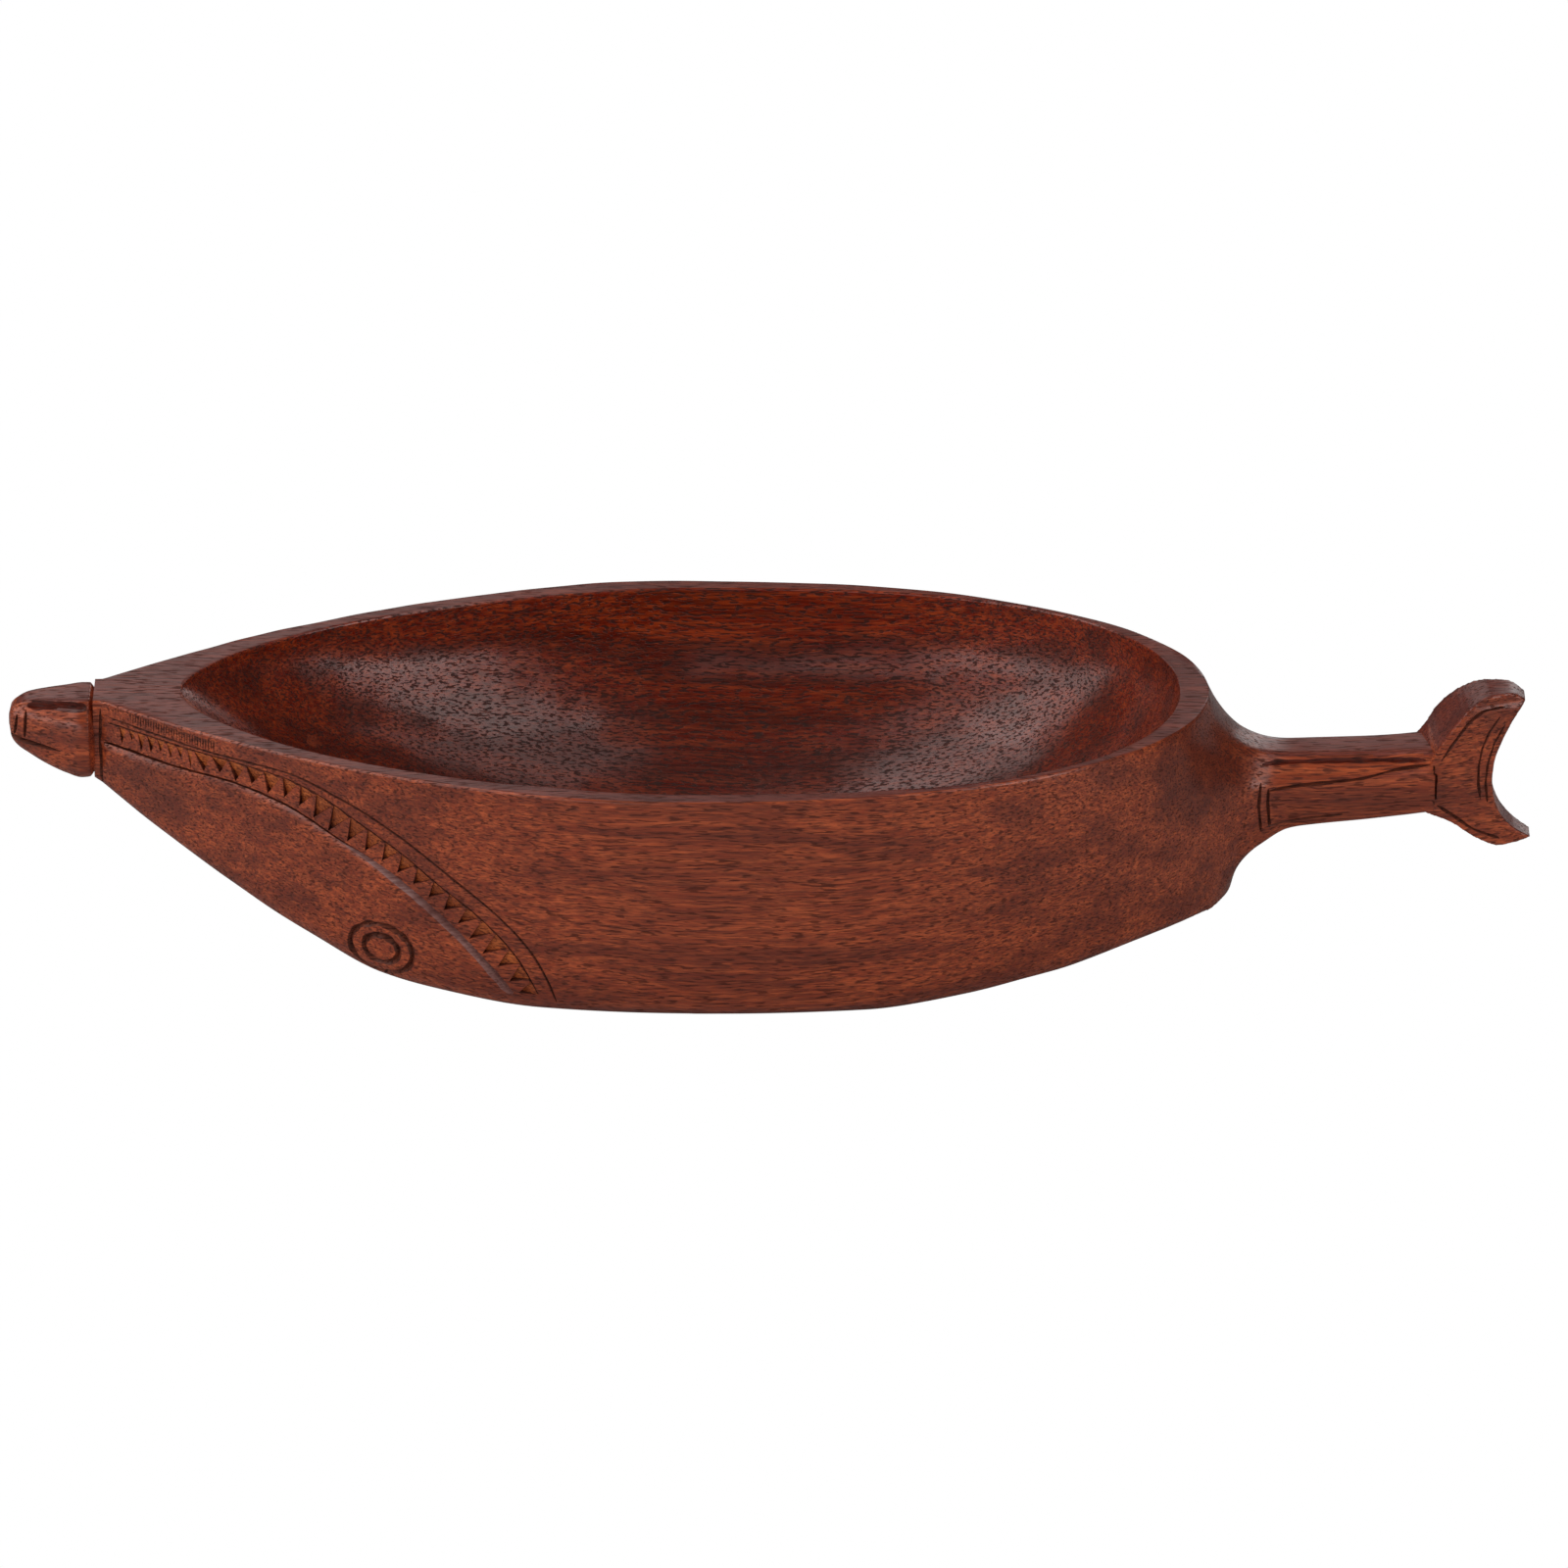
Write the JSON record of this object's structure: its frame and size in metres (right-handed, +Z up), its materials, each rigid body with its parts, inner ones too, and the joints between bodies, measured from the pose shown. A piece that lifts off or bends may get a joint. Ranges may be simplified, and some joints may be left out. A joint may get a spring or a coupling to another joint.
{
  "type": "carved fish-shaped bowl",
  "caption": "Leaf-shaped hardwood bowl carved as a fish, with a deep cavity, blunt snout, chip-carved bands, stem and forked tail fin.",
  "frame": {"origin": "under the middle of the overall length, on the foot's plane", "axes": "+X from snout to tail, +Z up, +Y to the bowl's far side; the two sides mirror each other across Y = 0"},
  "size_m": [0.3999, 0.1432, 0.0686],
  "materials": {
    "vessel_wood": "oiled and polished, satin",
    "snout_wood": "oiled and polished, satin",
    "stem_wood": "oiled and polished, satin",
    "fin_wood": "oiled and polished, satin"
  },
  "bodies": {
    "root": {"bowl_vessel": "vessel_wood", "snout": "snout_wood", "tail_stem": "stem_wood", "tail_fin": "fin_wood"}
  },
  "joints": []
}
